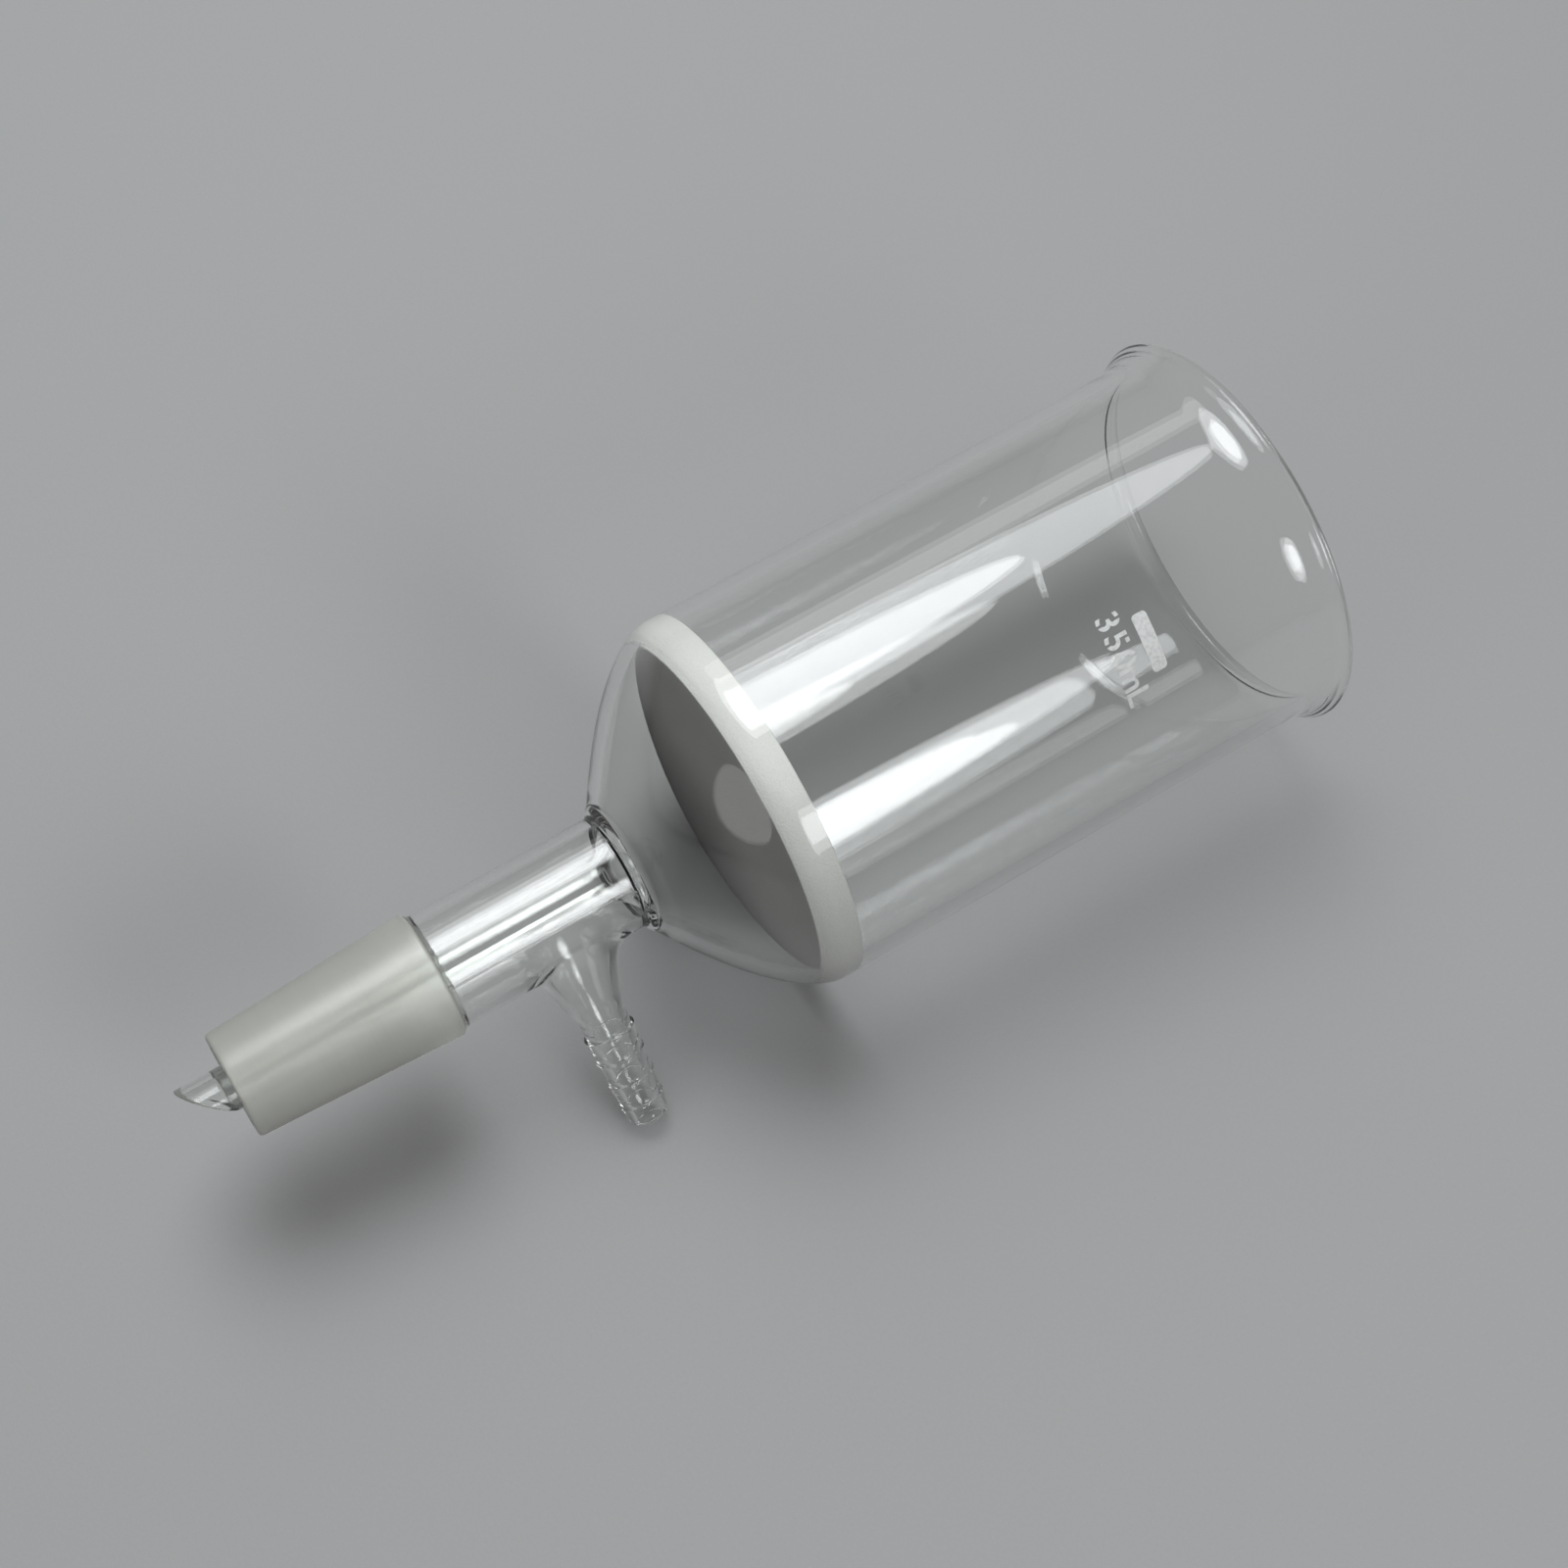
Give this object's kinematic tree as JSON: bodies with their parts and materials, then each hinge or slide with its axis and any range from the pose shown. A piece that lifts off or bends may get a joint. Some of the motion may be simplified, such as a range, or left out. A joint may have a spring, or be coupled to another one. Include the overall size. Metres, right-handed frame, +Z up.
{
  "type": "fritted vacuum filter funnel",
  "caption": "Cylindrical glass filter funnel with flared rim, sealed-in frit disc, domed base, vacuum side arm with hose barb, ground cone joint and inner drip tube, lying on its side.",
  "frame": {"origin": "centre of the bounding box, on the bench plane that the funnel lies on", "axes": "+X towards the bowl's mouth, along the bench; +Z up; the side arm leans down and towards -Y until its barb touches the bench"},
  "size_m": [0.2204, 0.0786, 0.0785],
  "materials": {
    "clear_glass": "clear fire-polished borosilicate",
    "ground_glass": "fine ground, frosted outside",
    "sintered_glass": "matt white porous sintered glass",
    "white_enamel": "fired white print"
  },
  "bodies": {
    "root": {"bowl": "clear_glass", "filtrate_dome": "clear_glass", "ring_seal": "clear_glass", "vacuum_jacket": "clear_glass", "side_arm": "clear_glass", "hose_barb": "clear_glass", "drip_tube": "clear_glass", "ground_joint": "ground_glass", "frit_disc": "sintered_glass", "capacity_bar": "white_enamel", "capacity_digit_3": "white_enamel", "capacity_digit_5": "white_enamel", "capacity_digit_0": "white_enamel", "capacity_letter_m": "white_enamel", "capacity_letter_l": "white_enamel"}
  },
  "joints": []
}
